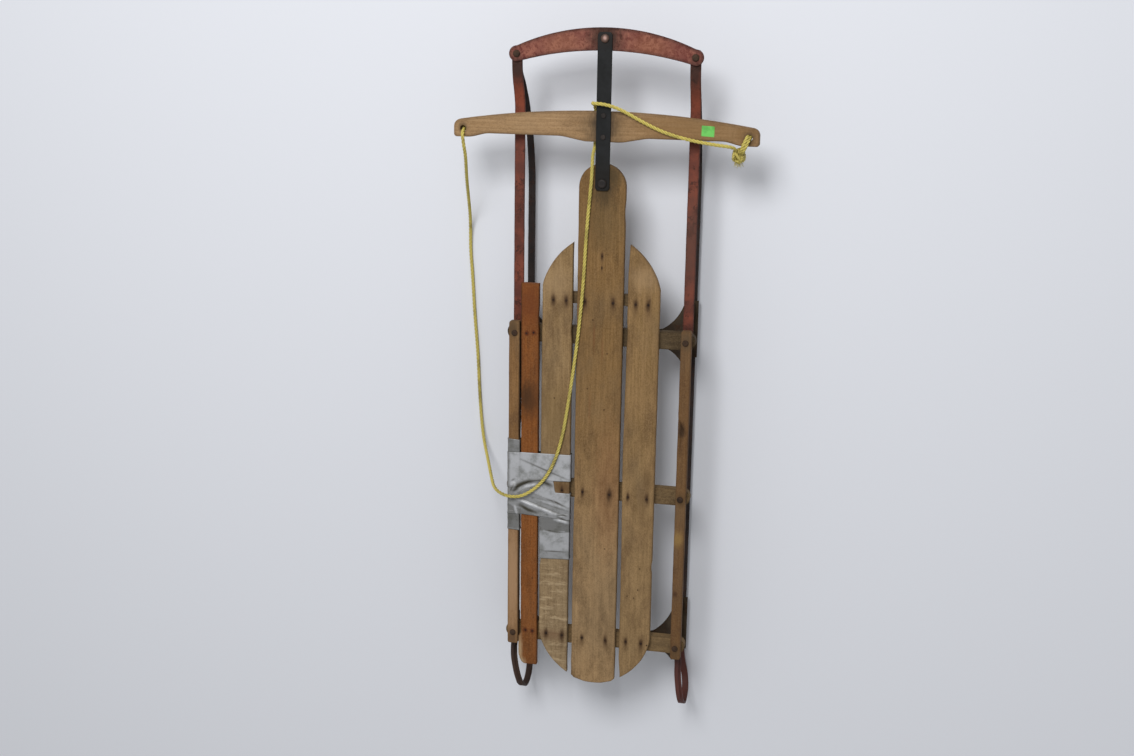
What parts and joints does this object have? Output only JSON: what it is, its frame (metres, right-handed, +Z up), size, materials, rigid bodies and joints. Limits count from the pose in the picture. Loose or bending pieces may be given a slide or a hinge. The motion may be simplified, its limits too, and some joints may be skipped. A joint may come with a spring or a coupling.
{
  "type": "steerable runner sled",
  "caption": "Old wooden coasting sled: slatted deck on steel runners with curled tails, a pivoting wooden steering bar tied to a steel bumper, a taped-on repair board and a tow rope.",
  "frame": {"origin": "on the floor, under the middle of the sled's length and width", "axes": "+X across to the rider's right, +Y towards the bumper at the front, +Z up"},
  "size_m": [0.5349, 1.2399, 0.1474],
  "materials": {
    "deck_wood": "weathered, dry",
    "bench_wood": "weathered, dark",
    "repair_wood": "old stain",
    "bar_wood": "worn varnish",
    "runner_paint": "worn red paint, rusty",
    "bumper_paint": "faded red paint, rusty",
    "knee_steel": "dull, rusty",
    "strap_steel": "dark, worn",
    "bolt_steel": "dull",
    "tape": "silver cloth tape",
    "rope": "twisted plastic fibre"
  },
  "bodies": {
    "sled": {"centre_board": "deck_wood", "left_slat": "deck_wood", "right_slat": "deck_wood", "left_rail": "deck_wood", "right_rail": "deck_wood", "repair_board": "repair_wood", "rear_bench": "bench_wood", "mid_bench": "bench_wood", "front_bench": "bench_wood", "front_cleat": "bench_wood", "left_runner": "runner_paint", "right_runner": "runner_paint", "left_side_bar": "runner_paint", "right_side_bar": "runner_paint", "rear_left_knee": "knee_steel", "rear_right_knee": "knee_steel", "front_left_knee": "knee_steel", "front_right_knee": "knee_steel", "left_rail_bolts": "bolt_steel", "right_rail_bolts": "bolt_steel", "nose_bolt": "bolt_steel", "tape_front_band": "tape", "tape_rear_band": "tape", "tape_slat_wrap": "tape", "tape_rail_wraps": "tape", "rope_loop": "rope"},
    "steering": {"steering_strap": "strap_steel", "steering_bar": "bar_wood", "strap_rivets": "bolt_steel", "rope_left_end": "rope", "rope_bar_run": "rope", "rope_right_tie": "rope", "rope_left_knot": "rope", "rope_right_knot": "rope"},
    "bumper": {"bumper": "bumper_paint", "bumper_rivets": "bolt_steel", "bumper_bolt": "bolt_steel"}
  },
  "joints": [
    {"name": "steering", "type": "hinge", "parent": "sled", "child": "steering", "pos_m": [0, 0.361, 0.132], "axis": [0, 0, 1], "range_deg": [-8, 8], "stiffness_Nm_per_rad": 60, "deforming": ["rope_loop"]},
    {"name": "bumper_shift", "type": "slide", "parent": "sled", "child": "bumper", "axis": [1, 0, 0], "range_m": [-0.034, 0.034], "deforming": ["left_runner", "right_runner", "left_side_bar", "right_side_bar"]}
  ],
  "couplings": [
    {"joint": "bumper_shift", "follows": "steering", "m_per_rad": -0.241}
  ]
}
